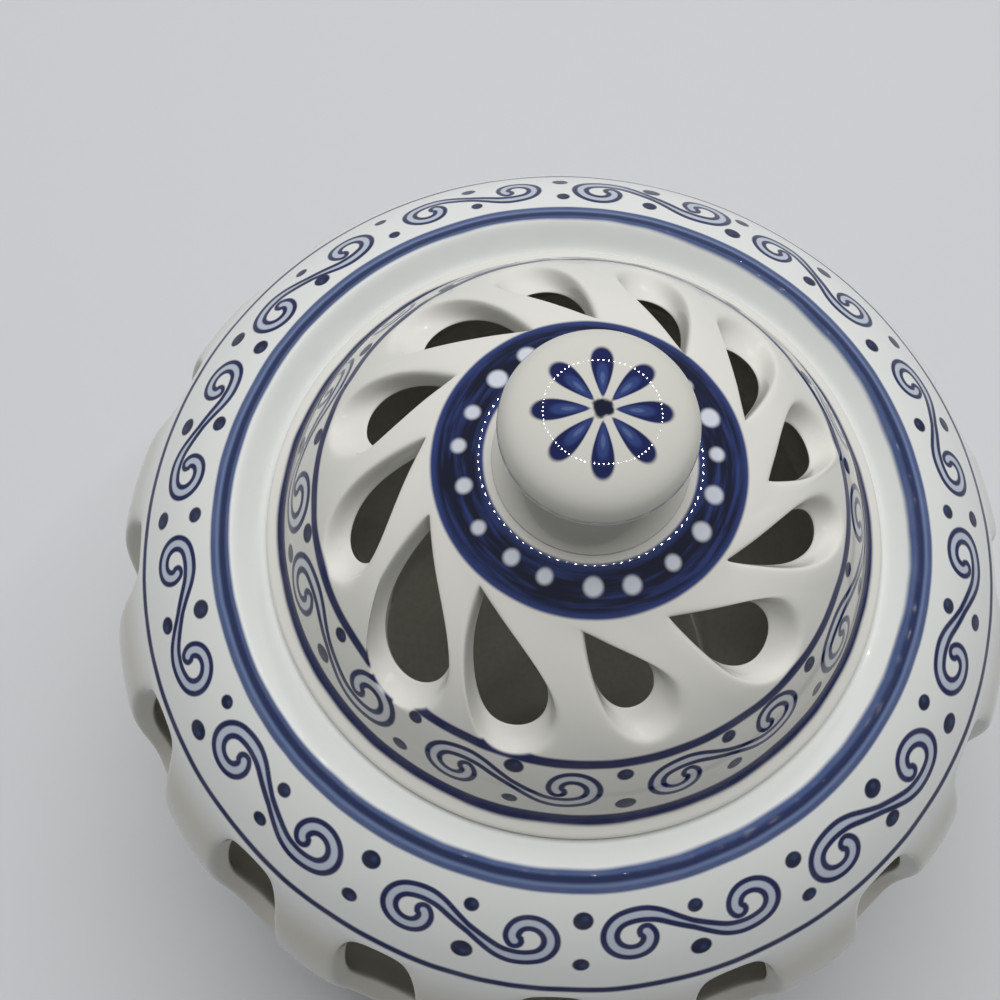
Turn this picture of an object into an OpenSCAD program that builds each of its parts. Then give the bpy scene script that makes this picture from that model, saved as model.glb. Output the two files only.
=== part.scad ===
// Pierced porcelain potpourri vase with a domed, knobbed lid.
// Millimetres, +Z up, origin at the centre of the foot on the table.

/* [Vase body] */
// Largest radius of the belly
belly_r = 73; // [70:1:80]
// Height of the belly's widest place
belly_z = 66.9; // [64:0.1:72]
// Radius of the arc from the belly up to the rim
shoulder_arc_r = 40; // [36:1:44]
// Radius of the arc from the belly down to the foot
belly_arc_r = 74; // [70:1:80]
// Thickness of the side wall and the floor
wall = 4; // [3:0.5:6]
// Radius of the ridge round the rim
rim_r = 50; // [48:0.5:55]
// Radius of the ridge's rounded edge
rim_edge_r = 1; // [0.5:0.1:1.5]
// Width of the collar that slopes from the ridge in to the lid's seat
collar_w = 4; // [3:0.5:5]
// Depth of the lid's seat below the ridge
seat_drop = 3.1; // [2:0.1:5]
// Width of the seat from the collar in to the mouth
seat_w = 6; // [5:0.5:8]
// Thickness of the inward ledge that carries the lid
ledge_t = 4; // [3:0.5:6]

/* [Foot ring] */
// Outer radius of the foot ring
foot_r = 42; // [36:0.5:50]
// Width of the foot ring
foot_w = 5; // [4:0.5:8]
// Radius of the foot ring's rounded edges
foot_edge_r = 1.2; // [0.5:0.1:1.5]
// Height of the recessed base above the table
foot_lift = 2; // [1:0.5:4]

/* [Openings in the body] */
// Number of oval openings round the belly
body_drops = 16; // [10:1:18]
// Azimuth of the first opening's lower end
body_drop_start = 4.5; // [0:0.5:22]
// Height angle of the lower end's centre, from the belly's widest place
body_drop_angle = -1; // [-3:0.5:1]
// Radius of an opening's lower end
body_drop_r = 6.2; // [4:0.1:7]
// Radius of an opening's upper end
body_tip_r = 5.6; // [3.5:0.1:6]
// Length from the lower end's centre to the upper end's centre
body_drop_len = 17; // [14:0.5:18]
// Lean of an opening away from straight uphill
body_drop_lean = 5; // [0:1:15]
// Radius of an opening's fuller side
body_side_r = 60; // [40:1:100]
// Radius of the hollow dished below the lower end
body_dish_r = 11; // [8:0.5:14]
// Depth of that hollow
body_dish_depth = 2.2; // [1:0.1:2.5]
// Distance of that hollow below the lower end's centre
body_dish_below = 6; // [4:0.5:7]

/* [Lid] */
// Width of the rim flange outside the dome
flange_w = 1.2; // [1:0.1:2]
// Thickness of the rim flange
flange_t = 1.8; // [1.2:0.1:3]
// Radius of the fillet from the flange up to the dome
flange_fillet_r = 3; // [2:0.5:4]
// Gap between the flange and the collar of the vase
flange_gap = 0.8; // [0.4:0.1:1.5]
// Radius of the arc that shapes the dome
dome_arc_r = 36.2; // [34:0.1:40]
// Height of the dome's arc above the seat
dome_h = 28.8; // [26:0.1:32]
// Thickness of the dome
dome_wall = 3.8; // [3:0.1:5]
// Depth of the ring that centres the lid in the mouth
spigot_depth = 6; // [4:0.5:10]
// Thickness of the centring ring
spigot_t = 3.4; // [2.5:0.1:5]
// Clearance between the centring ring and the mouth
spigot_gap = 0.6; // [0.3:0.1:1.5]

/* [Openings in the lid] */
// Number of swirling openings round the dome
lid_drops = 12; // [8:1:13]
// Azimuth of the first opening's round end
lid_drop_start = 15; // [0:0.5:30]
// Height angle of the round end's centre on the dome's arc
lid_drop_angle = 49; // [46:0.5:52]
// Radius of an opening's round end
lid_drop_r = 4.2; // [3:0.1:4.6]
// Radius of an opening's narrow end
lid_tip_r = 0.6; // [0.4:0.1:1]
// Length from the round end's centre to the narrow end's centre
lid_drop_len = 13; // [10:0.5:14]
// Lean of an opening away from straight uphill
lid_drop_lean = 38; // [20:1:45]
// Radius of an opening's fuller side
lid_side_r = 20; // [16:0.5:40]
// Radius of the hollow dished below the round end
lid_dish_r = 7; // [5:0.5:10]
// Depth of that hollow
lid_dish_depth = 1.8; // [1:0.1:2.2]
// Distance of that hollow below the round end's centre
lid_dish_below = 3; // [1:0.5:4]

/* [Knob] */
// Radius of the knob's button
knob_r = 12.7; // [11:0.1:14]
// Half the thickness of the button
knob_half_h = 5.6; // [5.2:0.1:8]
// Radius of the button's rounded edge
knob_edge_r = 4.4; // [3:0.1:4.8]
// Height of the button's middle above the dome's crown
knob_lift = 11.6; // [10:0.1:13]
// Radius of the knob's foot on the crown
knob_foot_r = 13.2; // [11.5:0.1:14.5]
// Radius of the neck at its waist
knob_neck_r = 9; // [7:0.1:10]
// Radius of the neck's hollow flare
knob_flare_r = 6; // [5.5:0.1:8]

/* [Hidden] */
$fn = 96;
porcelain = "ghostwhite";
// Overrun that lets a cut pass a face cleanly
over = 1;
// Sink of an outline's sides into its round ends, so that they cross there and don't just touch
seam = 0.02;
// Rise of an arc, centred beside the axis, above its centre at a given radius
function arc_rise(r, centre_r, arc_r) = sqrt(arc_r * arc_r - (r - centre_r) * (r - centre_r));
shoulder_centre_r = belly_r - shoulder_arc_r;
belly_centre_r = belly_r - belly_arc_r;
rim_z = belly_z + arc_rise(rim_r, shoulder_centre_r, shoulder_arc_r);
seat_z = rim_z - seat_drop;
collar_r = rim_r - collar_w;
mouth_r = collar_r - seat_w;
foot_top_z = belly_z - arc_rise(foot_r, belly_centre_r, belly_arc_r);
flange_r = collar_r - flange_gap;
dome_r = flange_r - flange_w;
dome_centre_r = dome_r - dome_arc_r;
dome_z = seat_z + dome_h - dome_arc_r;
dome_inner_arc_r = dome_arc_r - dome_wall;
spigot_r = mouth_r - spigot_gap;
crown_z = dome_z + arc_rise(knob_foot_r, dome_centre_r, dome_arc_r);
knob_z = crown_z + knob_lift;
// Depth of an opening's cut on each side of the wall's outer face
body_cut = 4 * wall;
lid_cut = 3 * dome_wall;

// Half section of a round form: an arc beside the axis and the solid core it turns about
module arc_section(centre_r, arc_r, centre_z) {
    translate([centre_r, centre_z])
        circle(r = arc_r);
    translate([0, centre_z - arc_r])
        square([centre_r, 2 * arc_r]);
}

// Part of a half section that lies on the axis side and between two heights
module between(low_z, high_z, reach) {
    intersection() {
        translate([0, low_z])
            square([reach, high_z - low_z]);
        children();
    }
}

// Drop outline: round end at the origin, narrow end up +Y, fuller side towards +X
module drop_outline(round_r, tip_r, len, side_r) {
    tangent = acos((round_r - tip_r) / len);
    left = [-sin(tangent), cos(tangent)];
    side_y = (len * len + (side_r - round_r) * (side_r - round_r)
        - (side_r - tip_r) * (side_r - tip_r)) / (2 * len);
    side_x = -sqrt((side_r - round_r) * (side_r - round_r) - side_y * side_y);
    round_away = -[side_x, side_y] / (side_r - round_r);
    tip_away = ([0, len] - [side_x, side_y]) / (side_r - tip_r);
    circle(r = round_r);
    translate([0, len])
        circle(r = tip_r);
    polygon([[0, 0], (round_r - seam) * left, [0, len] + (tip_r - seam) * left, [0, len]]);
    intersection() {
        translate([side_x, side_y])
            circle(r = side_r - seam);
        polygon([[0, 0], [0, len], [0, len] + 2 * round_r * tip_away, 2 * round_r * round_away]);
    }
}

// Places a shape on an arc's outer face: +X round the axis, +Y uphill, +Z outwards
module on_wall(azimuth, angle, centre_r, arc_r, centre_z) {
    rotate([0, 0, azimuth])
        translate([centre_r, 0, centre_z])
            rotate([0, -angle, 0])
                translate([arc_r, 0, 0])
                    rotate([90, 0, 90])
                        children();
}

// One leaning opening and the hollow dished below its round end
module opening(round_r, tip_r, len, side_r, lean, cut, dish_r, dish_depth, dish_below) {
    rotate([0, 0, lean])
        translate([0, 0, -cut])
            linear_extrude(height = 2 * cut)
                drop_outline(round_r, tip_r, len, side_r);
    translate([0, -dish_below, dish_r - dish_depth])
        sphere(r = dish_r);
}

// Half section of the foot ring, rounded where it meets the table
module foot_section() {
    translate([foot_r - foot_w, foot_edge_r])
        square([foot_w, foot_top_z - foot_edge_r]);
    translate([foot_r - foot_w + foot_edge_r, 0])
        square([foot_w - 2 * foot_edge_r, foot_top_z]);
    for (edge_centre_r = [foot_r - foot_w + foot_edge_r, foot_r - foot_edge_r])
        translate([edge_centre_r, foot_edge_r])
            circle(r = foot_edge_r);
}

// Waste outside the rounded ridge, between the collar's slope and the shoulder's arc
module ridge_waste() {
    arc_centre = [shoulder_centre_r, belly_z];
    slope = [rim_r - collar_r, seat_drop] / norm([rim_r - collar_r, seat_drop]);
    inwards = [slope[1], -slope[0]];
    base = [collar_r, seat_z] + rim_edge_r * inwards - arc_centre;
    reach = shoulder_arc_r - rim_edge_r;
    along = sqrt((base * slope) * (base * slope) - base * base + reach * reach) - base * slope;
    edge_centre = arc_centre + base + along * slope;
    difference() {
        polygon([edge_centre, edge_centre - rim_edge_r * inwards, [rim_r, rim_z] - over * inwards,
            [rim_r + over, rim_z], edge_centre + rim_edge_r / reach * (edge_centre - arc_centre)]);
        translate(edge_centre)
            circle(r = rim_edge_r);
    }
}

// Half section of the vase's round between two heights, sunk below its outer face
module round_section(sink, low_z, high_z) {
    between(belly_z, high_z, belly_r)
        arc_section(shoulder_centre_r, shoulder_arc_r - sink, belly_z);
    between(low_z, belly_z, belly_r)
        translate([belly_centre_r, belly_z])
            circle(r = belly_arc_r - sink);
}

// Half section of the vase without its openings
module body_section() {
    difference() {
        union() {
            round_section(0, foot_lift, rim_z);
            foot_section();
        }
        round_section(wall, foot_lift + wall, seat_z - ledge_t);
        translate([0, belly_z])
            square([mouth_r, rim_z - belly_z]);
        polygon([[0, seat_z], [collar_r, seat_z], [rim_r, rim_z], [rim_r, rim_z + over], [0, rim_z + over]]);
        ridge_waste();
    }
}

module vase_body() {
    color(porcelain)
        difference() {
            rotate_extrude()
                body_section();
            for (i = [0 : body_drops - 1])
                on_wall(body_drop_start + i * 360 / body_drops, body_drop_angle,
                    shoulder_centre_r, shoulder_arc_r, belly_z)
                    opening(body_drop_r, body_tip_r, body_drop_len, body_side_r, body_drop_lean,
                        body_cut, body_dish_r, body_dish_depth, body_dish_below);
        }
}

// Hollow fillet from the flange's top up to the dome
module flange_fillet() {
    fillet_z = seat_z + flange_t + flange_fillet_r;
    fillet_r = dome_centre_r + arc_rise(fillet_z, dome_z, dome_arc_r + flange_fillet_r);
    meet = dome_arc_r / (dome_arc_r + flange_fillet_r);
    meet_r = dome_centre_r + meet * (fillet_r - dome_centre_r);
    meet_z = dome_z + meet * (fillet_z - dome_z);
    difference() {
        polygon([[meet_r, seat_z], [fillet_r, seat_z], [fillet_r, fillet_z], [meet_r, meet_z]]);
        translate([fillet_r, fillet_z])
            circle(r = flange_fillet_r);
    }
}

// Half section of the lid without its openings
module lid_section() {
    difference() {
        union() {
            between(seat_z, crown_z, dome_r)
                arc_section(dome_centre_r, dome_arc_r, dome_z);
            translate([0, seat_z])
                square([flange_r, flange_t]);
            between(seat_z, crown_z, flange_r)
                flange_fillet();
            translate([0, seat_z - spigot_depth])
                square([spigot_r, spigot_depth + flange_t]);
        }
        between(seat_z + spigot_t, crown_z - dome_wall, dome_r)
            arc_section(dome_centre_r, dome_inner_arc_r, dome_z);
        translate([0, seat_z - spigot_depth - over])
            square([spigot_r - spigot_t, spigot_depth + spigot_t + 2 * over]);
    }
}

module lid() {
    color(porcelain)
        difference() {
            rotate_extrude()
                lid_section();
            for (i = [0 : lid_drops - 1])
                on_wall(lid_drop_start + i * 360 / lid_drops, lid_drop_angle,
                    dome_centre_r, dome_arc_r, dome_z)
                    opening(lid_drop_r, lid_tip_r, lid_drop_len, lid_side_r, lid_drop_lean,
                        lid_cut, lid_dish_r, lid_dish_depth, lid_dish_below);
        }
}

// Half section of the knob: a button with tangent arcs on a waisted neck
module knob_section() {
    edge_centre_r = knob_r - knob_edge_r;
    cap_r = (edge_centre_r * edge_centre_r + knob_half_h * knob_half_h - knob_edge_r * knob_edge_r)
        / (2 * (knob_half_h - knob_edge_r));
    cap_drop = cap_r - knob_half_h;
    meet_r = edge_centre_r * cap_r / (cap_r - knob_edge_r);
    between(knob_z - knob_half_h, knob_z + knob_half_h, meet_r)
        intersection() {
            translate([0, knob_z - cap_drop])
                circle(r = cap_r);
            translate([0, knob_z + cap_drop])
                circle(r = cap_r);
        }
    translate([edge_centre_r, knob_z])
        circle(r = knob_edge_r);
    translate([0, crown_z])
        square([knob_neck_r, knob_lift]);
    difference() {
        translate([0, crown_z])
            square([knob_foot_r, knob_flare_r]);
        translate([knob_neck_r + knob_flare_r, crown_z + knob_flare_r])
            circle(r = knob_flare_r);
    }
}

module knob() {
    color(porcelain)
        rotate_extrude()
            knob_section();
}

vase_body();
lid();
knob();
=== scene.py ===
import math

import bmesh
import bpy
from mathutils import Euler, Matrix, Vector


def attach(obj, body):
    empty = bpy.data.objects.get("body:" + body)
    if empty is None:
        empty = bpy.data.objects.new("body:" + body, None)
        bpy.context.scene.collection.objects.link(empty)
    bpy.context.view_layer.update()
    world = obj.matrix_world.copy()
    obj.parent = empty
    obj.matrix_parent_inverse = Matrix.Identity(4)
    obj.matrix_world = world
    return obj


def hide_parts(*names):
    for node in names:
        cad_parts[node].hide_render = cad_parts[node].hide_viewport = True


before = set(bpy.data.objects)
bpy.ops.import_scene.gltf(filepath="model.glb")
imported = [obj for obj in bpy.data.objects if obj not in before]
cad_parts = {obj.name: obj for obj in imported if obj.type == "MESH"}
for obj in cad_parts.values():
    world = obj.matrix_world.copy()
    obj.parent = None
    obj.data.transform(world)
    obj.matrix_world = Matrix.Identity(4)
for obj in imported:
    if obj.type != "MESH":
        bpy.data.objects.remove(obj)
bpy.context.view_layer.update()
mm = 0.001
mergeGap = 0.02  # millimetres within which the seams of a piece are joined


# Point of a wall: distance along its outer face above the painted line, and depth below that face
def wallPoint(wall, along, depth):
    radius, (middle, level) = wall["radius"], wall["centre"]
    turn = math.radians(wall["lineAngle"]) + along / radius
    if turn < 0:  # below its widest place the wall is a flatter arc
        middle += radius - wall["below"]
        turn *= radius / wall["below"]
        radius = wall["below"]
    return middle + (radius - depth) * math.cos(turn), level + (radius - depth) * math.sin(turn)


# Distance along a wall and depth below its outer face, for a radius and a height
def wallPlace(wall, radius, height):
    rise, reach, middle = height - wall["centre"][1], wall["radius"], wall["centre"][0]
    if rise < 0:
        middle += reach - wall["below"]
        reach = wall["below"]
    turn = math.atan2(rise, radius - middle)
    along = turn * reach - math.radians(wall["lineAngle"]) * wall["radius"]
    return along, reach - math.hypot(radius - middle, rise)


# Radius of the wall's outer face at a distance along it
def wallRadius(wall, along):
    return wallPoint(wall, along, 0)[0]


def deselect():
    if bpy.context.object and bpy.context.object.mode != "OBJECT":
        bpy.ops.object.mode_set(mode="OBJECT")
    bpy.ops.object.select_all(action="DESELECT")


# Turned surface: a circle extruded from ring to ring, closed at its last ring where asked
def turned(name, rings, count, azimuth, close):
    deselect()
    radius, height = rings[0]
    bpy.ops.mesh.primitive_circle_add(vertices=count, radius=radius * mm, location=(0, 0, height * mm),
                                      rotation=(0, 0, math.radians(azimuth - 90)))
    bpy.ops.object.transform_apply(location=True, rotation=True)
    made = bpy.context.object
    made.name = name
    bpy.ops.object.mode_set(mode="EDIT")
    bpy.ops.mesh.select_all(action="SELECT")
    for (lastR, lastZ), (nextR, nextZ) in zip(rings, rings[1:]):
        bpy.ops.mesh.extrude_edges_move(TRANSFORM_OT_translate={"value": (0, 0, (nextZ - lastZ) * mm)})
        bpy.ops.transform.resize(value=(nextR / lastR, nextR / lastR, 1), center_override=(0, 0, 0))
    if close:
        bpy.ops.mesh.edge_face_add()
        bpy.ops.mesh.poke()
    bpy.ops.object.mode_set(mode="OBJECT")
    return made


# A sine or cosine filled out, so that an oval's ends turn rounder and its sides straighter
def filled(value, full):
    return math.copysign(abs(value) ** full, value)


# Outline of an opening as (across, towards the tip) about its round end's centre; it starts at the tip
def dropOutline(width, length, beyond, holes, count):
    turns = [2 * math.pi * step / count for step in range(count)]
    bulge = [filled(math.sin(t), holes["full"]) * math.sin(t / 2) ** holes["point"] for t in turns]
    reach = [(1 + filled(math.cos(t), holes["full"])) / 2 for t in turns]
    return [(width / 2 * b / max(bulge), (length + beyond) * r - width / 2 - beyond)
            for b, r in zip(bulge, reach)]


# Azimuth, in radians, by which the slant carries the edge of a cell
def slantTurn(wall, holes, along):
    aside = math.tan(math.radians(holes["lean"])) * (along - holes["middle"])
    return -aside / wallRadius(wall, along)


# Outline of one cut on the wall as (azimuth in radians, along)
def cutLine(wall, holes, cut, grow, beyond, count):
    middle, lean, width, length = cut[1:5]
    sine, cosine = math.sin(math.radians(lean)), math.cos(math.radians(lean))
    line = []
    for across, up in dropOutline(width + 2 * grow, length + 2 * grow, beyond, holes, count):
        along = middle + across * sine + up * cosine
        line.append(((across * cosine - up * sine) / wallRadius(wall, along), along))
    return line


# Edge of the cell round an opening as (azimuth in radians, along), in step with the outline
def cellEdge(wall, holes):
    tip, far = holes["zone"]
    half = holes["ends"] // 2
    ends = [step / half for step in range(half + 1)]
    sides = [step / holes["sides"] for step in range(1, holes["sides"])]
    right = [(e, tip) for e in ends] + [(1, tip + (far - tip) * s) for s in sides]
    right += [(e, far) for e in reversed(ends)]
    edge = right + [(-e, along) for e, along in reversed(right[1:-1])]
    pitch = math.pi / holes["count"]
    return [(share * pitch + slantTurn(wall, holes, along), along) for share, along in edge]


# Rings of a cell, as shares of the way from the dish's crest out to the cell's edge, from the crest in to
# the opening, and from the opening out to the edge on the inner face
cellSteps = {"outer": (1, 0.5, 0.12, 0), "dish": (0.3, 0.7), "inner": (0, 0.12, 1)}


# Points of one cell's rings, from the edge on the outer face through the opening to the inner face
def cellRings(wall, holes, number):
    cut = holes["cuts"][number]
    beyond = cut[-1]
    edge = cellEdge(wall, holes)
    crest = cutLine(wall, holes, cut, holes["crest"], beyond, len(edge))
    hole = cutLine(wall, holes, cut, 0, 0, len(edge))
    steps = [(crest, edge, share) for share in cellSteps["outer"]]
    steps += [(crest, hole, share) for share in cellSteps["dish"]]
    steps += [(hole, edge, share) for share in cellSteps["inner"]]
    depths = list(holes["depths"]) + [wall["wall"]] * 2  # the last two rings lie on the inner face
    start = math.radians(holes["azimuth"]) + 2 * math.pi * number / holes["count"]
    rings = []
    for (near, aim, share), depth in zip(steps, depths):
        ring = []
        for (nearTurn, nearAlong), (aimTurn, aimAlong) in zip(near, aim):
            turn = start + nearTurn + (aimTurn - nearTurn) * share
            along = nearAlong + (aimAlong - nearAlong) * share
            radius, height = wallPoint(wall, along, depth)
            ring.append(Vector((radius * math.cos(turn), radius * math.sin(turn), height)) * mm)
        rings.append(ring)
    return rings


# One cell of a pierced wall: a circle extruded ring by ring, each ring set to its outline
def piercedCell(wall, holes, number):
    deselect()
    rings = cellRings(wall, holes, number)
    bpy.ops.mesh.primitive_circle_add(vertices=len(rings[0]), radius=wall["radius"] * mm)
    made = bpy.context.object
    bpy.ops.object.mode_set(mode="EDIT")
    cage = bmesh.from_edit_mesh(made.data)
    place = cage.verts.layers.int.new("place")
    for vert in cage.verts:
        vert[place] = vert.index
    for step, ring in enumerate(rings):
        if step:
            bpy.ops.mesh.extrude_edges_move(TRANSFORM_OT_translate={"value": (0, 0, 0)})
        cage = bmesh.from_edit_mesh(made.data)
        place = cage.verts.layers.int["place"]
        for vert in cage.verts:
            if vert.select:
                vert.co = ring[vert[place]]
        bmesh.update_edit_mesh(made.data)
    bpy.ops.object.mode_set(mode="OBJECT")
    made.data.attributes.remove(made.data.attributes["place"])
    return made


# Uneven spacing: each opening turns whole to where it was cut, and the clay between gives way
def spaceOut(made, wall, holes):
    high, low = holes["zone"]
    shifts = [cut[0] for cut in holes["cuts"]]
    for vert in made.data.vertices:
        x, y, z = vert.co / mm
        along = wallPlace(wall, math.hypot(x, y), z)[0]
        turn = math.atan2(y, x) - slantTurn(wall, holes, min(max(along, low), high))
        place = (math.degrees(turn) - holes["azimuth"]) / 360 * holes["count"]
        cell = math.floor(place)
        share = min(max((place - cell - holes["hold"]) / (1 - 2 * holes["hold"]), 0), 1)
        share = share * share * (3 - 2 * share)  # eased at both ends
        here, after = shifts[cell % holes["count"]], shifts[(cell + 1) % holes["count"]]
        spin = Matrix.Rotation(math.radians(here + (after - here) * share), 3, "Z")
        vert.co = spin @ vert.co


# Faces of the hollow take the second material, the painted shade of the inside
def markInside(made, wall):
    inside = wall["inside"]
    for face in made.data.polygons:
        x, y, z = face.center / mm
        depth = wallPlace(wall, math.hypot(x, y), z)[1]
        if depth > inside["depth"] and inside["low"] < z < inside["high"]:
            face.material_index = 1


# One closed piece out of several open surfaces
def joined(name, parts, wall, holes):
    deselect()
    for part in parts:
        part.select_set(True)
    bpy.context.view_layer.objects.active = parts[0]
    bpy.ops.object.join()
    made = bpy.context.object
    made.name = name
    made.data.name = name
    bpy.ops.object.mode_set(mode="EDIT")
    bpy.ops.mesh.select_all(action="SELECT")
    bpy.ops.mesh.remove_doubles(threshold=mergeGap * mm)
    bpy.ops.mesh.normals_make_consistent(inside=False)
    bpy.ops.object.mode_set(mode="OBJECT")
    if holes:
        markInside(made, wall)
        spaceOut(made, wall, holes)
    refine = made.modifiers.new("smooth", "SUBSURF")
    refine.levels = wall["smooth"]
    refine.render_levels = wall["smooth"]
    bpy.ops.object.modifier_apply(modifier=refine.name)
    bpy.ops.object.shade_smooth()
    return made


# Azimuth at which the rings above or below a pierced zone start
def ringStart(wall, holes, along):
    return holes["azimuth"] + 180 / holes["count"] + math.degrees(slantTurn(wall, holes, along))


# Vase body in millimetres: the arcs of its wall, then its rings. Rise and fall are distances along the
# wall above its painted line; rim, foot and floor are given as (radius, height).
vase = {
    "centre": (33, 66.9),
    "radius": 40,
    "below": 74,  # radius of the flatter arc below the widest place
    "wall": 4,
    "lineAngle": 37.4,  # place of the painted line on the arc, in degrees above the widest place
    "smooth": 2,  # levels of subdivision
    "rise": [4, 8.3, 12.5, 16.2, 18.3],
    "rim": [(50.5, 102.9), (50.05, 102.98), (49.4, 102.68), (48.2, 101.72), (46.4, 100.3), (45.4, 100),
            (41, 100), (40.1, 99.6), (40, 98), (40.1, 96.4), (41, 96), (52.6, 96), (54.3, 95.7)],
    "innerRise": [8.8, 4],
    "fall": [-53, -64, -75, -86, -92.6],
    "foot": [(43, 7.3), (42.1, 6.2), (42, 2), (41.5, 0.35), (40.5, 0), (38.5, 0), (37.5, 0.35), (37, 1.6),
             (36.6, 2.9), (34.2, 2), (12, 2)],
    "innerFall": [-54, -66, -78, -90, -100],
    "floor": [(34.3, 6.4), (31, 6), (8, 6)],
    "inside": {"depth": 3.6, "low": 5.5, "high": 46},  # faces that take the painted shade: so deep, between two heights
}

# Openings of the belly: long ovals with a dished end, each in a cell of faces of its own
bellyHoles = {
    "count": 16,
    "azimuth": 4.4,
    "middle": -27.7,  # place of the lower end's centre along the wall
    "lean": 5,
    "width": 12.2,
    "length": 31.4,
    "beyond": 2,  # how far the dished end runs past the opening
    "ends": 4,  # faces along each end of a cell
    "sides": 8,  # and along each side
    "zone": (-0.8, -43),  # where the cells start and end along the wall
    "point": 0.1,  # how far the outline narrows to its tip
    "full": 0.6,  # under 1, its ends are filled out
    "crest": 1.0,  # from the opening out to the crest of its dish
    "depths": (0, 0, 0.05, 0.4, 1.5, 2.8, 3.4),  # of the cell's rings, from its edge in to the opening
    "hold": 0.28,  # share of the pitch, each way, that turns whole with an opening
    "shifts": [0, 0, 0, 0, 0, 0, 0, 0, 2, 2.5, 1.9, -0.9, -1.1, -1.1, -0.9, -2.8],  # from an even spacing
}
oval = tuple(bellyHoles[size] for size in ("middle", "lean", "width", "length", "beyond"))
bellyHoles["cuts"] = [(shift,) + oval for shift in bellyHoles["shifts"]]

vaseCount = bellyHoles["count"] * bellyHoles["ends"]
zoneTop, zoneEnd = bellyHoles["zone"]
upperRings = [wallPoint(vase, along, 0) for along in [zoneTop] + vase["rise"]] + vase["rim"]
upperRings += [wallPoint(vase, along, vase["wall"]) for along in vase["innerRise"] + [zoneTop]]
lowerRings = [wallPoint(vase, along, 0) for along in [zoneEnd] + vase["fall"]] + vase["foot"]
floorRings = [wallPoint(vase, along, vase["wall"]) for along in [zoneEnd] + vase["innerFall"]]
floorRings += vase["floor"]
vaseParts = [piercedCell(vase, bellyHoles, number) for number in range(bellyHoles["count"])]
vaseParts += [
    turned("shoulder", upperRings, vaseCount, ringStart(vase, bellyHoles, zoneTop), False),
    turned("foot", lowerRings, vaseCount, ringStart(vase, bellyHoles, zoneEnd), True),
    turned("floor", floorRings, vaseCount, ringStart(vase, bellyHoles, zoneEnd), True),
]
vasePiece = joined("vase_body_glazed", vaseParts, vase, bellyHoles)
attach(vasePiece, "vase")
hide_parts("vase_body")
print("vase body modelled:", len(vasePiece.data.polygons), "faces")

# Lid, given as the vase is. The dome's painted line is the one above its scrolls.
cover = {
    "centre": (7.8, 92.6),
    "radius": 36.2,
    "wall": 3.8,
    "lineAngle": 35.8,
    "smooth": 2,
    "fall": [-5.6, -8.4],
    "rim": [(42.1, 103.9), (42.6, 102.9), (43.4, 102.1), (44.5, 101.75), (45.1, 101.4), (45.2, 100.7),
            (44.8, 100.08), (42, 100.02), (39.8, 100.02), (39.4, 99.5), (39.4, 95), (38.9, 94.1),
            (37.7, 94), (36.5, 94.1), (36, 95), (36, 102.6), (36.6, 103.4), (37.7, 103.9)],
    "innerFall": [-6.8],
    "rise": [23.2, 25.4, 27.5],
    "crown": [(13.5, 128.33), (12.4, 128.39), (5, 128.39)],
    "innerRise": [25.4],
    "vault": [(13, 124.5), (5, 124.6)],
    "inside": {"depth": 3.5, "low": 94.5, "high": 124.8},
}

# Openings of the dome, leaning drops cut by hand. A cut is its turn from an even spacing, the place of its
# round end's centre along the wall, its lean, width and length, and how far its dished end runs past it.
domeHoles = {
    "count": 12,
    "azimuth": 16.4,
    "middle": 8.8,
    "lean": 34,
    "ends": 6,
    "sides": 10,
    "zone": (21.4, -2.8),
    "point": 1.0,
    "full": 1,
    "crest": 0.7,
    "depths": (0, 0, 0.04, 0.35, 2.05, 2.95, 3.35),
    "hold": 0.28,
    "cuts": [
        (0.3, 7.6, 33, 8.6, 15.2, 2), (-3.1, 10.5, 42, 8, 15.2, 4), (-2.3, 10.1, 33, 7.1, 15.7, 4),
        (-1.1, 10.1, 29, 7.6, 14.5, 4), (-2.4, 10.3, 33, 10, 16.9, 4), (-2.2, 10, 31.5, 9.3, 15.3, 4),
        (0.9, 7.4, 36, 8.2, 18.5, 2.4), (2.1, 5.6, 36, 11.4, 22.2, 2), (-1.4, 7.4, 33.5, 10.4, 19.4, 2.2),
        (-1.8, 10.7, 30.5, 7.3, 12.9, 4), (3.1, 8.8, 36, 9.3, 16.6, 3), (7.2, 7.3, 37, 7, 18.6, 2),
    ],
}

coverCount = domeHoles["count"] * domeHoles["ends"]
zoneTop, zoneEnd = domeHoles["zone"]
rimRings = [wallPoint(cover, along, 0) for along in [zoneEnd] + cover["fall"]] + cover["rim"]
rimRings += [wallPoint(cover, along, cover["wall"]) for along in cover["innerFall"] + [zoneEnd]]
crownRings = [wallPoint(cover, along, 0) for along in [zoneTop] + cover["rise"]] + cover["crown"]
vaultRings = [wallPoint(cover, along, cover["wall"]) for along in [zoneTop] + cover["innerRise"]]
vaultRings += cover["vault"]
lidParts = [piercedCell(cover, domeHoles, number) for number in range(domeHoles["count"])]
lidParts += [
    turned("lidRim", rimRings, coverCount, ringStart(cover, domeHoles, zoneEnd), False),
    turned("lidCrown", crownRings, coverCount, ringStart(cover, domeHoles, zoneTop), True),
    turned("lidVault", vaultRings, coverCount, ringStart(cover, domeHoles, zoneTop), True),
]
lidPiece = joined("lid_glazed", lidParts, cover, domeHoles)
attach(lidPiece, "lid")
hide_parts("lid")
print("lid modelled:", len(lidPiece.data.polygons), "faces")

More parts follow.
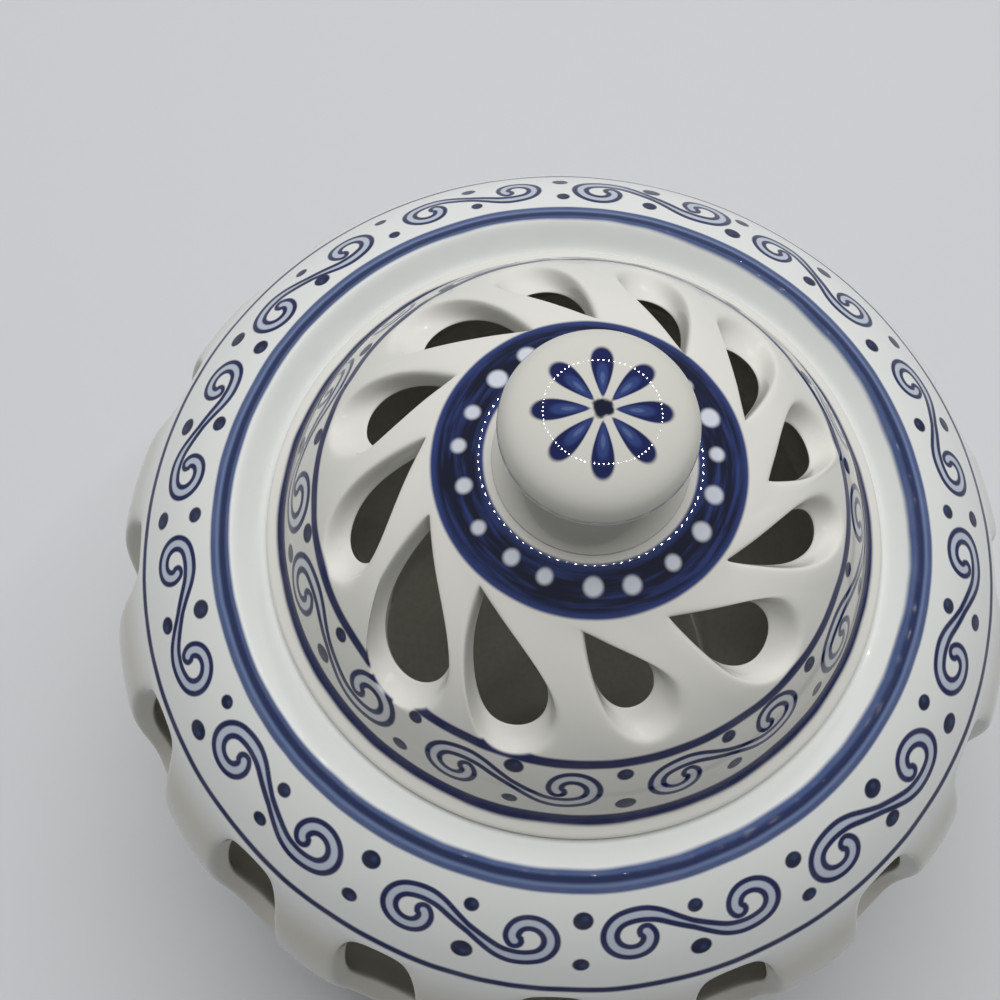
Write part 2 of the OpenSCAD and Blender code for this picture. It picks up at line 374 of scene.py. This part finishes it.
# Knob: a button on a waisted neck, turned, with a domed cap of quads on top
knob = {
    "rings": [(5, 128.42), (12.6, 128.42), (13.2, 128.56), (12.5, 128.95), (11.2, 129.8), (9.9, 131.2),
              (9.2, 132.8), (9, 134.4), (9.2, 135.3), (9.9, 135.85), (10.9, 136.4), (11.8, 137.3),
              (12.5, 138.7), (12.65, 140.3), (12.3, 141.9), (11.5, 143), (10.2, 143.9), (8, 144.65)],
    "count": 48,
    "capArc": 33.7,  # radius of the cap's arc, and the height of its centre
    "capCentre": 111.9,
    "capRing": 5,  # radius inside which the cap is a grid of quads
    "smooth": 2,
}


# Height of the knob's cap at a radius
def capHeight(radius):
    return knob["capCentre"] + math.sqrt(knob["capArc"] ** 2 - radius * radius)


def turnedKnob():
    stem = turned("knobStem", list(reversed(knob["rings"])), knob["count"], 0, True)
    capRings = [knob["rings"][-1], (knob["capRing"], capHeight(knob["capRing"]))]
    cap = turned("knobCap", capRings, knob["count"], 0, False)
    bpy.ops.object.mode_set(mode="EDIT")
    bpy.ops.mesh.fill_grid(span=knob["count"] // 4)
    bpy.ops.object.mode_set(mode="OBJECT")
    for vert in cap.data.vertices:
        radius = math.hypot(vert.co.x, vert.co.y) / mm
        if radius < (knob["capRing"] + knob["rings"][-1][0]) / 2:
            vert.co.z = capHeight(radius) * mm
    return joined("knob_glazed", [stem, cap], knob, None)


knobPiece = turnedKnob()
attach(knobPiece, "lid")
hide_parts("knob")
print("knob modelled:", len(knobPiece.data.polygons), "faces")


# Colour from sRGB hex
def colour(text):
    parts = [int(text[start:start + 2], 16) / 255 for start in (1, 3, 5)]
    return tuple(p / 12.92 if p <= 0.04045 else ((p + 0.055) / 1.055) ** 2.4 for p in parts) + (1,)


# Adds a node with its settings and links; an input is a constant or another node's output
def addNode(tree, kind, inputs, **settings):
    made = tree.nodes.new(kind)
    for name, value in settings.items():
        setattr(made, name, value)
    for name, value in inputs.items():
        if isinstance(value, bpy.types.NodeSocket):
            tree.links.new(value, made.inputs[name])
        else:
            made.inputs[name].default_value = value
    return made.outputs


# A number that varies over the surface; sums and products of such numbers become nodes
class Field:
    def __init__(self, tree, socket):
        self.tree = tree
        self.socket = socket

    def math(self, operation, *others):
        values = [self.socket] + [o.socket if isinstance(o, Field) else o for o in others]
        return Field(self.tree, addNode(self.tree, "ShaderNodeMath", dict(enumerate(values)),
                                        operation=operation)[0])

    def __add__(self, other):
        return self.math("ADD", other)

    def __sub__(self, other):
        return self.math("SUBTRACT", other)

    def __mul__(self, other):
        return self.math("MULTIPLY", other)

    # One where the number is under the limit, with a soft edge
    def under(self, limit, soft):
        inputs = {"Value": self.socket, "From Min": limit - soft, "From Max": limit + soft,
                  "To Min": 1, "To Max": 0}
        return Field(self.tree, addNode(self.tree, "ShaderNodeMapRange", inputs,
                                        interpolation_type="SMOOTHSTEP")[0])

    # Distance of a point from the origin, with this number and another as its sides
    def distance(self, other):
        return (self * self + other * other).math("SQRT")


# Places on the surface in millimetres: height, radius, azimuth in degrees, and the point itself
def surfacePlaces(tree):
    spot = addNode(tree, "ShaderNodeTexCoord", {})["Object"]
    spot = addNode(tree, "ShaderNodeVectorMath", {0: spot, "Scale": 1 / mm}, operation="SCALE")[0]
    x, y, z = [Field(tree, socket) for socket in addNode(tree, "ShaderNodeSeparateXYZ", {0: spot})]
    azimuth = y.math("ARCTAN2", x) * math.degrees(1)
    return {"x": x, "y": y, "z": z, "radius": x.distance(y), "azimuth": azimuth, "spot": spot}


# Distance along a wall above its painted line, and depth below its outer face
def wallPlaces(places, wall):
    out = places["radius"] - wall["centre"][0]
    rise = places["z"] - wall["centre"][1]
    along = (rise.math("ARCTAN2", out) - math.radians(wall["lineAngle"])) * wall["radius"]
    return along, out.distance(rise).math("MULTIPLY_ADD", -1, wall["radius"])


# Smooth unevenness from 0 to 1 with a grain of so many millimetres
def grain(places, size, detail):
    tree = places["z"].tree
    inputs = {"Vector": places["spot"], "Scale": 1 / size, "Detail": detail}
    return Field(tree, addNode(tree, "ShaderNodeTexNoise", inputs)[0])


# Streaks of the brush round the axis, from 0 to 1: so many to a radian, each so many millimetres wide
def streaks(places, perRadian, width, detail):
    tree = places["z"].tree
    sides = [places[axis].math("DIVIDE", places["radius"]) * perRadian for axis in ("x", "y")]
    sides.append(places["radius"] * (1 / width))
    inputs = {number: side.socket for number, side in enumerate(sides)}
    spot = addNode(tree, "ShaderNodeCombineXYZ", inputs)[0]
    inputs = {"Vector": spot, "Scale": 1, "Detail": detail}
    return Field(tree, addNode(tree, "ShaderNodeTexNoise", inputs)[0])


# Three random numbers from -0.5 to 0.5 for each whole number
def draws(cell, seed):
    tree = cell.tree
    mixed = addNode(tree, "ShaderNodeTexWhiteNoise", {"W": (cell + seed).socket}, noise_dimensions="1D")
    parts = addNode(tree, "ShaderNodeSeparateColor", {0: mixed["Color"]})
    return [Field(tree, socket) - 0.5 for socket in parts]


# Cells of equal width round the axis: number of the cell, and place in it from -0.5 to 0.5
def roundCells(azimuth, count, start):
    turn = azimuth.math("MULTIPLY_ADD", count / 360, 0.5 - start * count / 360)
    cell = turn.math("FLOOR")
    return cell.math("FLOORED_MODULO", count), turn - cell - 0.5


# Brush of all the painting, in millimetres
brush = {
    "soft": 0.25,  # edge of a painted ring
    "waver": 0.7,  # how far a ring wavers, and over what length
    "waverGrain": 14,
    "thinnest": 0.93,  # share of paint where it is thinnest, what pooling adds, and over what length
    "pooling": 0.12,
    "poolGrain": 5,
    "detail": 2,
    "farOff": 9,  # added to the distance from a stroke beyond its ends, so that no paint falls there
}


# Waver of the brush in millimetres, and the share of paint that it left
def brushMarks(places):
    waver = (grain(places, brush["waverGrain"], brush["detail"]) - 0.5) * brush["waver"]
    pooled = grain(places, brush["poolGrain"], brush["detail"])
    pooled = pooled.math("MULTIPLY_ADD", brush["pooling"], brush["thinnest"])
    return waver, pooled.math("MINIMUM", 1)


# Share of a painted ring between two places
def stripe(along, low, high, soft):
    middle, half = (low + high) / 2, (high - low) / 2
    return (along - middle).math("ABSOLUTE").under(half, soft)


# Distance to an arc of the brush's path; far where the point lies beyond the arc's ends
def arcDistance(x, y, arc):
    centreX, centreY, radius, start, end = arc
    middle, half = math.radians((start + end) / 2), math.radians((end - start) / 2)
    x, y = x - centreX, y - centreY
    ahead = x * math.cos(middle) + y * math.sin(middle)
    aside = y * math.cos(middle) - x * math.sin(middle)
    beyond = aside.math("ARCTAN2", ahead).math("ABSOLUTE").math("GREATER_THAN", half)
    return (x.distance(y) - radius).math("ABSOLUTE") + beyond * brush["farOff"]


# Distance to the brush's path in one half of a scroll: its stem, its arcs, and the point where it ends
def scrollPath(x, y, band):
    slope, reach = math.radians(band["stem"][0]), band["stem"][1]
    path = (x * math.sin(slope) - y * math.cos(slope)).math("ABSOLUTE")
    beyond = (x * math.cos(slope) + y * math.sin(slope)).math("GREATER_THAN", reach)
    path = path + beyond * brush["farOff"]
    for arc in band["arcs"]:
        path = path.math("MINIMUM", arcDistance(x, y, arc))
    endX, endY = band["end"]
    return path.math("MINIMUM", (x - endX).distance(y - endY))


# Dots above and below the scrolls, each with a paler spot where the brush was lifted
def bandDots(azimuth, height, pitch, band):
    half, place = roundCells(azimuth, 2 * band["count"], band["azimuth"])
    strayX, strayY, swell = draws(half * 2 + height.math("SIGN"), band["seed"] + band["dotSeed"])
    x = place * (pitch / 2) + strayX * band["dotStray"]
    y = height.math("ABSOLUTE") - band["dotRise"] + strayY * band["dotStray"]
    dot = x.distance(y) - swell * band["dotSwell"]
    spotX, spotY, spotSize = band["spot"]
    spot = (x - spotX).distance(y - spotY).under(spotSize, 2 * band["soft"])
    return [(dot.under(band["dot"], band["soft"]), "dot"), (spot * band["spotShare"], "spot")]


# Band of S-scrolls with dots, as layers of paint: a wash inside each scroll, its brush lines, and the dots
def scrollBand(places, along, band):
    swing, start = band["swing"]
    wide, tall = band["size"]
    azimuth = places["azimuth"]
    azimuth = azimuth - (azimuth - start).math("RADIANS").math("COSINE") * swing
    cell, share = roundCells(azimuth, band["count"], band["azimuth"])
    shift, lift, tilt = draws(cell, band["seed"])
    height = (along - band["middle"]) * (1 / tall)
    pitch = 2 * math.pi * band["radius"] / band["count"] / wide
    across = share * pitch + shift * band["stray"]
    rise = height + lift * band["lift"]
    tilt = tilt * band["tilt"] + band["lean"]
    swell = draws(cell, band["seed"] + band["swellSeed"])[0] * band["swell"] + 1
    x = (across + tilt * rise) * swell
    y = (rise - tilt * across) * swell * x.math("SIGN")
    x = x.math("ABSOLUTE")
    narrow, broad, grown = band["ribbon"]
    ribbon = (x * (1 / grown)).math("MINIMUM", 1) * (broad - narrow) + narrow
    beside = scrollPath(x, y, band) - ribbon
    inBand = height.math("ABSOLUTE").under(band["half"], band["soft"])
    line = beside.math("ABSOLUTE").under(band["line"], band["soft"])
    blobX, blobY, blobSize = band["blob"]
    blob = (x - blobX).distance(y - blobY).under(blobSize, band["soft"])
    layers = [(beside.under(0, band["soft"]) * inBand, band["fill"]),
              (line.math("MAXIMUM", blob) * inBand, "navy")]
    return layers + bandDots(azimuth, height, pitch, band)


# Colours of the clay, the glaze and the cobalt under it
pigment = {
    "body": "#d8dad8",
    # The lid's and knob's whites are darker than the body's: painted shade
    "lid": "#d3d2cc",
    "knob": "#c6c5be",
    # painted shade of the lower belly: darker and warmer than the body's white
    "belly": "#c8c5bb",
    "reserve": "#c3c8d2",
    "biscuit": "#cfc6b4",
    "navy": "#0b174a",
    "band": "#202c52",
    "edge": "#44547c",
    "cobalt": "#64749a",
    "ring": "#25356a",
    "ink": "#080e28",
    "petal": "#283a70",
    "patch": "#54678f",
    "wash": "#b0b8c6",
    "thinWash": "#c2c5c9",
    "dot": "#081238",
    "spot": "#2e3f6e",
}

# Clear glaze: mirror-smooth, over a faint ripple of the clay in millimetres
glaze = {
    "roughness": 0.025,
    "ior": 1.45,
    "specular": 0.35,
    "rippleGrain": 9,
    "rippleDetail": 1,
    "rippleStrength": 0.12,
    "rippleHeight": 0.4,
}


def newMaterial(name):
    made = bpy.data.materials.new(name)
    made.use_nodes = True
    return made, made.node_tree


# Glaze over painting: each layer is (share, colour), laid over the one before
def glazed(tree, places, ground, layers):
    tone = colour(pigment[ground])
    for share, paintName in layers:
        tone = addNode(tree, "ShaderNodeMix", {0: share.socket, 6: tone, 7: colour(pigment[paintName])},
                       data_type="RGBA")[2]
    ripple = grain(places, glaze["rippleGrain"], glaze["rippleDetail"])
    bump = addNode(tree, "ShaderNodeBump", {"Height": ripple.socket, "Strength": glaze["rippleStrength"],
                                            "Distance": glaze["rippleHeight"] * mm})[0]
    shader = tree.nodes["Principled BSDF"]
    tree.links.new(tone, shader.inputs["Base Color"])
    tree.links.new(bump, shader.inputs["Normal"])
    shader.inputs["Roughness"].default_value = glaze["roughness"]
    shader.inputs["IOR"].default_value = glaze["ior"]
    shader.inputs["Specular IOR Level"].default_value = glaze["specular"]


# Scroll of both bands, in millimetres from its middle; its second half is the first one turned round
scroll = {
    "stem": (-33, 4.17),  # angle and length
    "arcs": [(7.1, 3.27, 6.6, -123, -70), (8.35, -0.16, 2.95, -72, 98), (8.25, 0.5, 2.28, 91, 179),
             (7.5, 0.57, 1.53, 170, 225)],  # centre across and up, radius, start and end angle
    "end": (6.42, -0.51),
    "ribbon": (0.5, 0.92, 6),  # half width between the brush lines at the middle, further out, and how far
    "line": 0.43,  # half width of a brush line
    "soft": 0.17,
    "half": 6.3,  # half height of the band
    "blob": (7.2, 0.05, 0.45),  # filled eye of the curl: its place and size
    "stray": 1.2,  # how far one scroll differs from the next: across, up, in tilt and in size
    "lift": 1.4,
    "tilt": 0.12,
    "swell": 0.16,
    "swellSeed": 0.7,
    "lean": 0.03,
    "dot": 1.23,
    "dotRise": 3.6,  # above or below the middle of the band
    "dotStray": 0.8,
    "dotSwell": 0.48,
    "dotSeed": 0.4,
    "spot": (0.3, 0.3, 0.4),  # paler spot in a dot: its place and size
    "spotShare": 0.7,
}

# Painting of the vase. Heights are distances along the wall above the painted line.
vasePaint = scroll | {
    "count": 12,
    "azimuth": 20,
    "swing": (2.7, 15),  # degrees by which the scrolls drift from an even spacing, and where they do most
    "radius": 57.5,
    "middle": 8.8,
    "size": (1.0, 1.0),
    "seed": 3.2,
    "fill": "wash",
    "lines": [(-0.35, 0.7, "navy", 0), (16.1, 19.4, "edge", 0.6), (17, 17.5, "cobalt", 0.6),
              (17.7, 18.75, "band", 0.6)],  # low, high, colour, and how far it sways up on one side
    "swayAzimuth": -20,
    "face": (1.6, 0.2),  # the paint ends so deep below the wall's face, with so soft an edge
    "belly": (-5, 4),  # painted shade: darker and warmer below this place, with so soft an edge
    "unglazed": (0.25, 0.1),  # and the foot is bare below this height
}

# Cast porcelain, painted in cobalt and dipped in clear glaze: a cool white skin with small sharp
# highlights, deep blue brush lines with soft edges, a darker, warmer belly that is painted shade, and a
# bare clay foot
vaseGlaze, tree = newMaterial("glazed porcelain, scroll shoulder")
places = surfacePlaces(tree)
along, depth = wallPlaces(places, vase)
face = depth.under(*vasePaint["face"]) * places["z"].math("GREATER_THAN", vase["centre"][1])
waver, pooled = brushMarks(places)
# Painted shade: below the painted line the belly turns darker and warmer
layers = [(along.under(*vasePaint["belly"]), "belly")]
layers += [(share * face * pooled, paintName) for share, paintName in scrollBand(places, along, vasePaint)]
sway = (places["azimuth"] - vasePaint["swayAzimuth"]).math("RADIANS").math("COSINE")
for low, high, paintName, reach in vasePaint["lines"]:
    line = stripe(along + waver - sway * reach, low, high, brush["soft"])
    layers.append((line * face * pooled, paintName))
layers.append((places["z"].under(*vasePaint["unglazed"]), "biscuit"))
glazed(tree, places, "body", layers)

# Painting of the lid. The ring below the knob is given by radius; its streaky core starts a little in from
# its edges, and its dots are left white.
lidPaint = scroll | {
    "count": 8,
    "azimuth": 35,
    "swing": (0, 0),
    "radius": 41,
    "middle": -5.3,
    "size": (1.06, 0.93),
    "seed": 7.7,
    "fill": "thinWash",
    "lines": [(-13.1, -11.3, "navy"), (-0.75, 0.85, "navy")],
    "face": (0.4, 0.22),
    "ring": {"low": 14, "high": 20.85, "above": 115, "waver": 0.5, "coreIn": (0.9, 0.8), "coreSoft": 0.5,
             "perRadian": 2.2, "streakWidth": 0.9, "streakDetail": 3, "streaks": (0.58, 0.16)},
    "ringDots": {"count": 19, "azimuth": 8, "radius": 16.9, "size": 1.1, "soft": 0.35, "stray": 0.8,
                 "swell": 0.48, "seed": 5.3},
}

# The same porcelain and glaze on the lid: a darker, warmer white that is painted shade, and a deep blue
# ring that the brush left streaky
lidGlaze, tree = newMaterial("glazed porcelain, scroll lid")
places = surfacePlaces(tree)
along, depth = wallPlaces(places, cover)
face = depth.under(*lidPaint["face"])
waver, pooled = brushMarks(places)
layers = [(share * face * pooled, paintName) for share, paintName in scrollBand(places, along, lidPaint)]
for low, high, paintName in lidPaint["lines"]:
    layers.append((stripe(along + waver, low, high, brush["soft"]) * face * pooled, paintName))
ring = lidPaint["ring"]
ringShare = stripe(places["radius"] + waver * ring["waver"], ring["low"], ring["high"], brush["soft"])
ringShare = ringShare * face * places["z"].math("GREATER_THAN", ring["above"])
layers.append((ringShare, "ring"))
inner, outer = ring["coreIn"]
core = stripe(places["radius"] + waver, ring["low"] + inner, ring["high"] - outer, ring["coreSoft"])
streaky = streaks(places, ring["perRadian"], ring["streakWidth"], ring["streakDetail"])
layers.append((ringShare * core * streaky.under(*ring["streaks"]), "ink"))
dots = lidPaint["ringDots"]
cell, share = roundCells(places["azimuth"], dots["count"], dots["azimuth"])
strayX, strayY, swell = draws(cell, dots["seed"])
x = share * (2 * math.pi * dots["radius"] / dots["count"]) + strayX * dots["stray"]
y = places["radius"] - dots["radius"] + strayY * dots["stray"]
dot = x.distance(y) - swell * dots["swell"]
layers.append((dot.under(dots["size"], dots["soft"]) * ringShare, "reserve"))
glazed(tree, places, "lid", layers)

# Painting of the knob: a flower, in millimetres from the axis
knobPaint = {
    "petals": 8,
    "azimuth": 3.5,
    "middle": 5.1,  # of a petal's length, then half its length and half its width
    "half": 3.5,
    "width": 1.25,
    "flare": 0.2,  # how much a petal widens outwards
    "soft": 0.1,
    "heart": (0.62, 0.16),  # paler heart in shares of a petal: size and soft edge, and how far in it sits
    "heartIn": 0.3,
    "vein": (0.12, 0.12),  # paler line round the middle of the heart: half width and soft edge
    "veinAt": 0.12,
    "veinShare": 0.7,
    "core": (1.25, 0.25),
    "ragged": 1.4,  # how far the core's edge strays, and over what length
    "raggedGrain": 1.6,
    "raggedDetail": 2,
    "lowest": 141,
}

# The same porcelain and glaze on the knob: a darker, greyer white that is painted shade, and petals that
# are paler at their hearts
knobGlaze, tree = newMaterial("glazed porcelain, flower knob")
places = surfacePlaces(tree)
cell, share = roundCells(places["azimuth"], knobPaint["petals"], knobPaint["azimuth"])
aside = share * (2 * math.pi / knobPaint["petals"])
outward = (places["radius"] * aside.math("COSINE") - knobPaint["middle"]) * (1 / knobPaint["half"])
breadth = outward.math("MULTIPLY_ADD", knobPaint["flare"] * knobPaint["half"], knobPaint["width"])
sideways = (places["radius"] * aside.math("SINE")).math("DIVIDE", breadth)
petal = outward.distance(sideways).under(1, knobPaint["soft"])
heart = (outward + knobPaint["heartIn"]).distance(sideways)
vein = (heart - knobPaint["veinAt"]).math("ABSOLUTE").under(*knobPaint["vein"])
ragged = grain(places, knobPaint["raggedGrain"], knobPaint["raggedDetail"]) - 0.5
core = (places["radius"] + ragged * knobPaint["ragged"]).under(*knobPaint["core"])
top = places["z"].math("GREATER_THAN", knobPaint["lowest"])
layers = [(petal * top, "navy"), (heart.under(*knobPaint["heart"]) * top, "petal"),
          (vein * top * knobPaint["veinShare"], "patch"), (core * top, "ink")]
glazed(tree, places, "knob", layers)

# Inside of the vase and the lid: painted shade, a grey darker and duller than the outside, with a fine
# speckle
insideTone = {"base": "#989689", "dark": "#87857a", "grain": 1.2, "detail": 3, "roughness": 0.2}
insidePaintedShade, tree = newMaterial("porcelain inside, painted shade")
speckle = grain(surfacePlaces(tree), insideTone["grain"], insideTone["detail"])
inputs = {0: speckle.socket, 6: colour(insideTone["base"]), 7: colour(insideTone["dark"])}
tone = addNode(tree, "ShaderNodeMix", inputs, data_type="RGBA")[2]
shader = tree.nodes["Principled BSDF"]
tree.links.new(tone, shader.inputs["Base Color"])
shader.inputs["Roughness"].default_value = insideTone["roughness"]

for piece, finishes in ((vasePiece, [vaseGlaze, insidePaintedShade]), (lidPiece, [lidGlaze, insidePaintedShade]),
                        (knobPiece, [knobGlaze])):
    marks = [face.material_index for face in piece.data.polygons]
    piece.data.materials.clear()
    for finish in finishes:
        piece.data.materials.append(finish)
    piece.data.polygons.foreach_set("material_index", marks)
print("glazes painted")

# Floor, in metres: matt and pale, so that little but the soft shadow shows on it
stage = {"size": 60, "tone": "#c9cbce", "roughness": 0.7}
deselect()
bpy.ops.mesh.primitive_plane_add(size=stage["size"])
floor = bpy.context.object
floor.name = "floor"
mattFloor, tree = newMaterial("matt floor")
shader = tree.nodes["Principled BSDF"]
shader.inputs["Base Color"].default_value = colour(stage["tone"])
shader.inputs["Roughness"].default_value = stage["roughness"]
floor.data.materials.append(mattFloor)

# Soft studio light in metres and watts: a wide soft source above and behind that the glaze doesn't mirror,
# a ring of small lamps overhead that it does, and a room that looks paler than the light it gives
light = {
    "sky": {"place": (-0.08, 0.4, 1.18), "angle": 54, "strength": 1.6},
    "ring": {"centre": (0.038, 0.234, 0.697), "radius": 0.3, "count": 76, "size": 0.005, "power": 0.029},
    "aim": (0, 0, 0.09),
    "room": 0.18,
    "backdrop": 0.57,
}


def lamp(name, kind, place):
    deselect()
    bpy.ops.object.light_add(type=kind, location=place)
    made = bpy.context.object
    made.name = name
    made.visible_camera = False
    made.rotation_euler = (Vector(light["aim"]) - Vector(place)).to_track_quat("-Z", "Y").to_euler()
    return made


sky = lamp("sky", "SUN", light["sky"]["place"])
sky.data.angle = math.radians(light["sky"]["angle"])
sky.data.energy = light["sky"]["strength"]
sky.visible_glossy = False
ring = light["ring"]
facing = (Vector(ring["centre"]) - Vector(light["aim"])).to_track_quat("Z", "Y")
for step in range(ring["count"]):
    turn = 2 * math.pi * step / ring["count"]
    spoke = facing @ Vector((math.cos(turn), math.sin(turn), 0)) * ring["radius"]
    bulb = lamp("ring" + str(step), "AREA", Vector(ring["centre"]) + spoke)
    bulb.data.shape = "DISK"
    bulb.data.size = ring["size"]
    bulb.data.energy = ring["power"]
scene = bpy.context.scene
scene.world = scene.world or bpy.data.worlds.new("room")
scene.world.use_nodes = True
tree = scene.world.node_tree
rays = addNode(tree, "ShaderNodeLightPath", {})
seen = Field(tree, rays["Is Camera Ray"])
for kind in ("Is Glossy Ray", "Is Transmission Ray"):
    seen = seen.math("MAXIMUM", Field(tree, rays[kind]))
strength = seen * (light["backdrop"] - light["room"]) + light["room"]
tree.nodes["Background"].inputs["Color"].default_value = (1, 1, 1, 1)
tree.links.new(strength.socket, tree.nodes["Background"].inputs["Strength"])
scene.view_settings.view_transform = "Standard"

# Camera: the photograph's viewing angle, from a fit to the painted rings, in millimetres and degrees
view = {
    "position": (-11.3, -69.8, 309.7),
    "elevation": 70.755,
    "roll": 4.698,
    "lens": 54,
    "sensor": 36,
    "nearest": 10,
}
deselect()
bpy.ops.object.camera_add(location=Vector(view["position"]) * mm)
camera = bpy.context.object
camera.data.lens = view["lens"]
camera.data.sensor_width = view["sensor"]
camera.data.clip_start = view["nearest"] * mm
tilt = Euler((math.radians(90 - view["elevation"]), 0, 0)).to_matrix()
roll = Matrix.Rotation(math.radians(view["roll"]), 3, "Z")
camera.rotation_euler = (tilt @ roll).to_euler()
scene.camera = camera
print("camera, light and floor in place")
